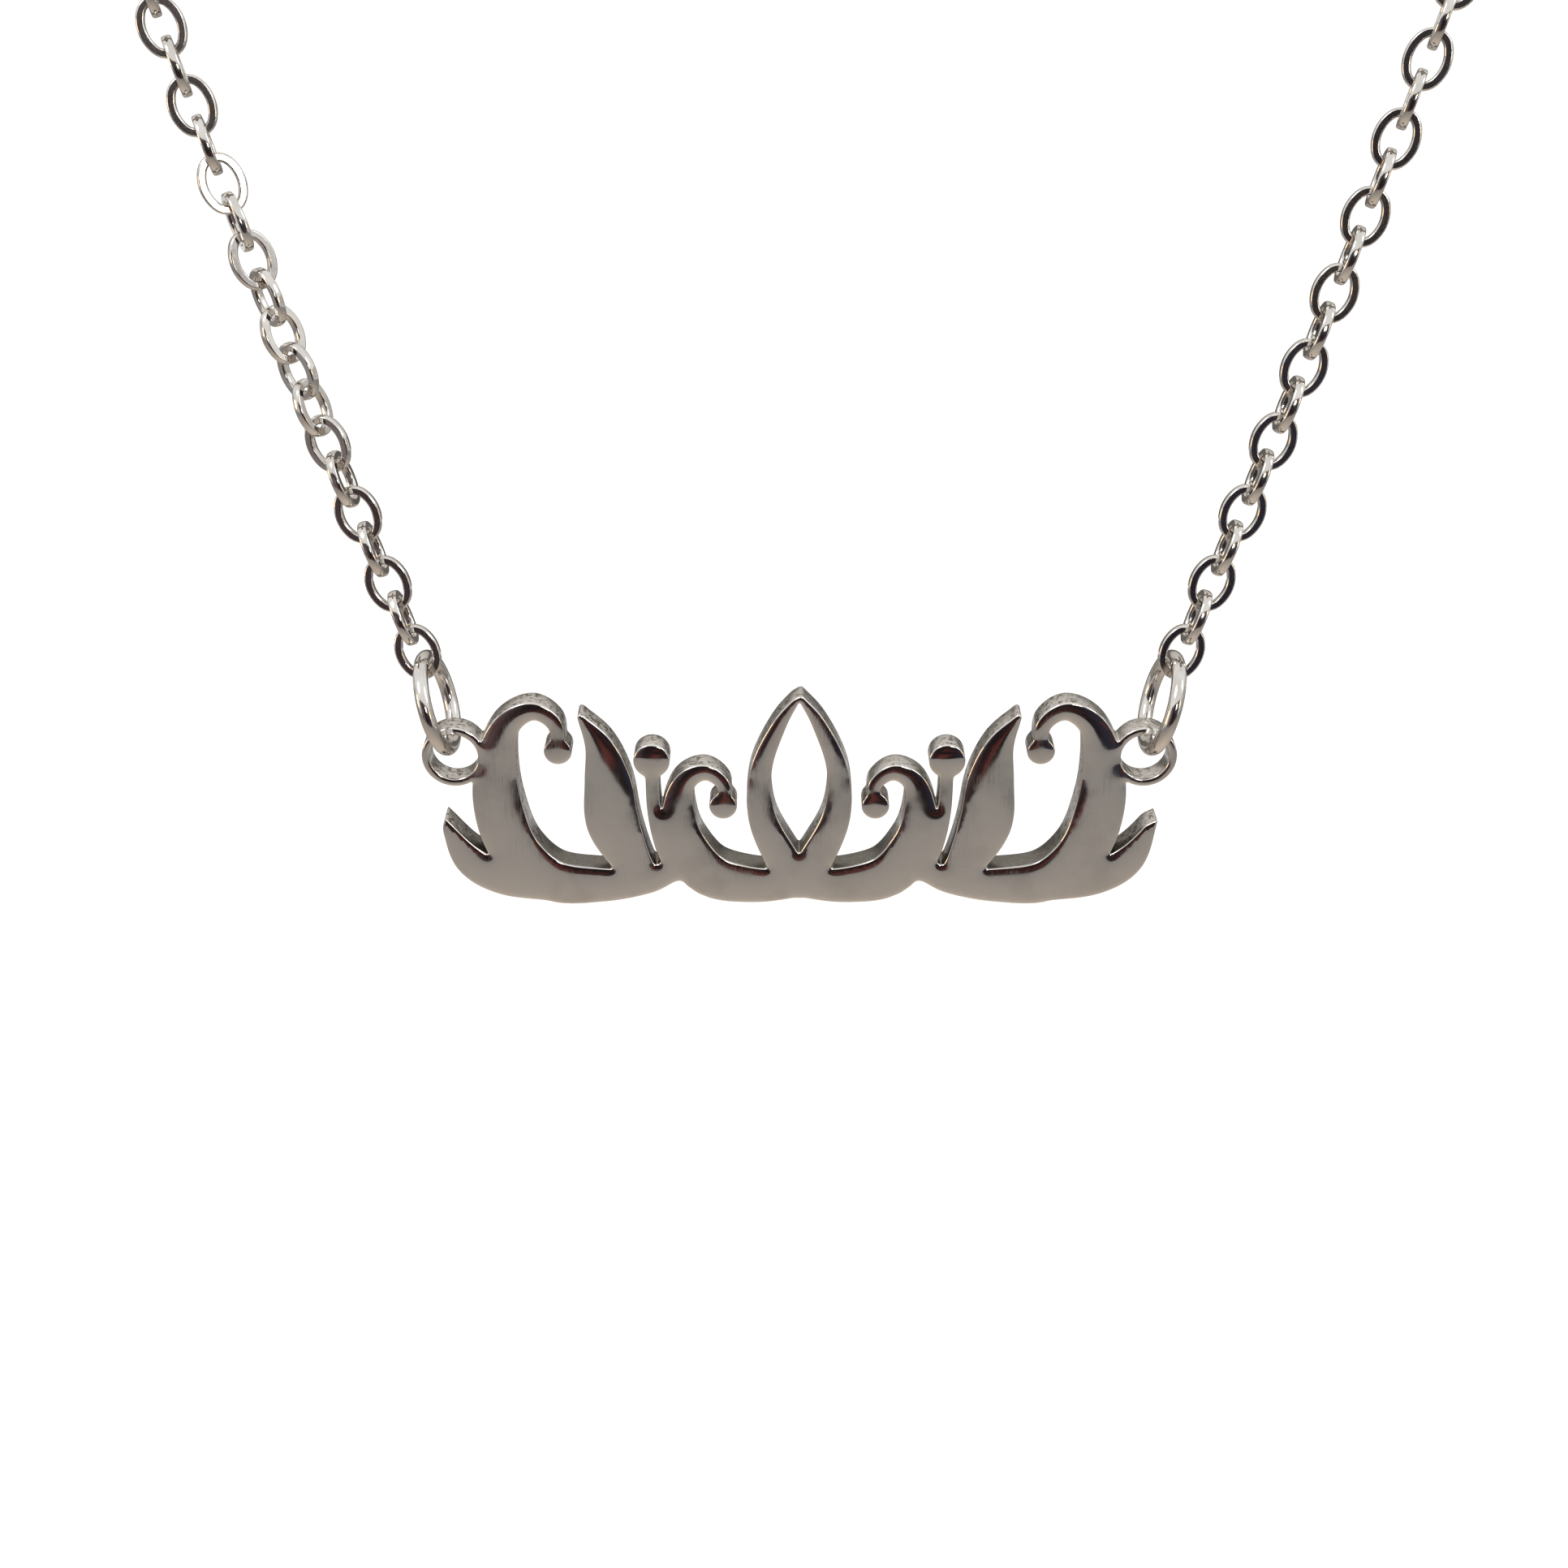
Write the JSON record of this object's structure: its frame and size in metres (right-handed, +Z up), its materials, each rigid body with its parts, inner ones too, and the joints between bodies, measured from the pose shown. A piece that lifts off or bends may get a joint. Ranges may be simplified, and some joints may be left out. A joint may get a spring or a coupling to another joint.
{
  "type": "nameplate necklace",
  "caption": "Necklace: a pierced polished steel scrollwork plate hung by jump rings from a flattened oval-link cable chain, closed at the nape by a plain clasp.",
  "frame": {"origin": "the middle of the clasp, where the necklace lies on the nape", "axes": "+Z up, +Y from the plate to the nape, +X to the right of someone who looks at the plate's front"},
  "size_m": [0.1064, 0.1025, 0.1245],
  "materials": {
    "plate_steel": "polished faces, satin cut edges",
    "ring_steel": "polished",
    "chain_steel": "polished",
    "clasp_steel": "polished"
  },
  "bodies": {
    "necklace": {"jump_ring_left": "ring_steel", "jump_ring_right": "ring_steel", "chain_left": "chain_steel", "chain_right": "chain_steel", "clasp": "clasp_steel", "clasp_ring": "ring_steel", "end_ring": "ring_steel"},
    "plate": {"nameplate": "plate_steel"}
  },
  "joints": [
    {"name": "plate_swing", "type": "hinge", "parent": "necklace", "child": "plate", "pos_m": [0, -0.098, -0.112], "axis": [1, 0, 0], "range_deg": [-40, 50]}
  ]
}
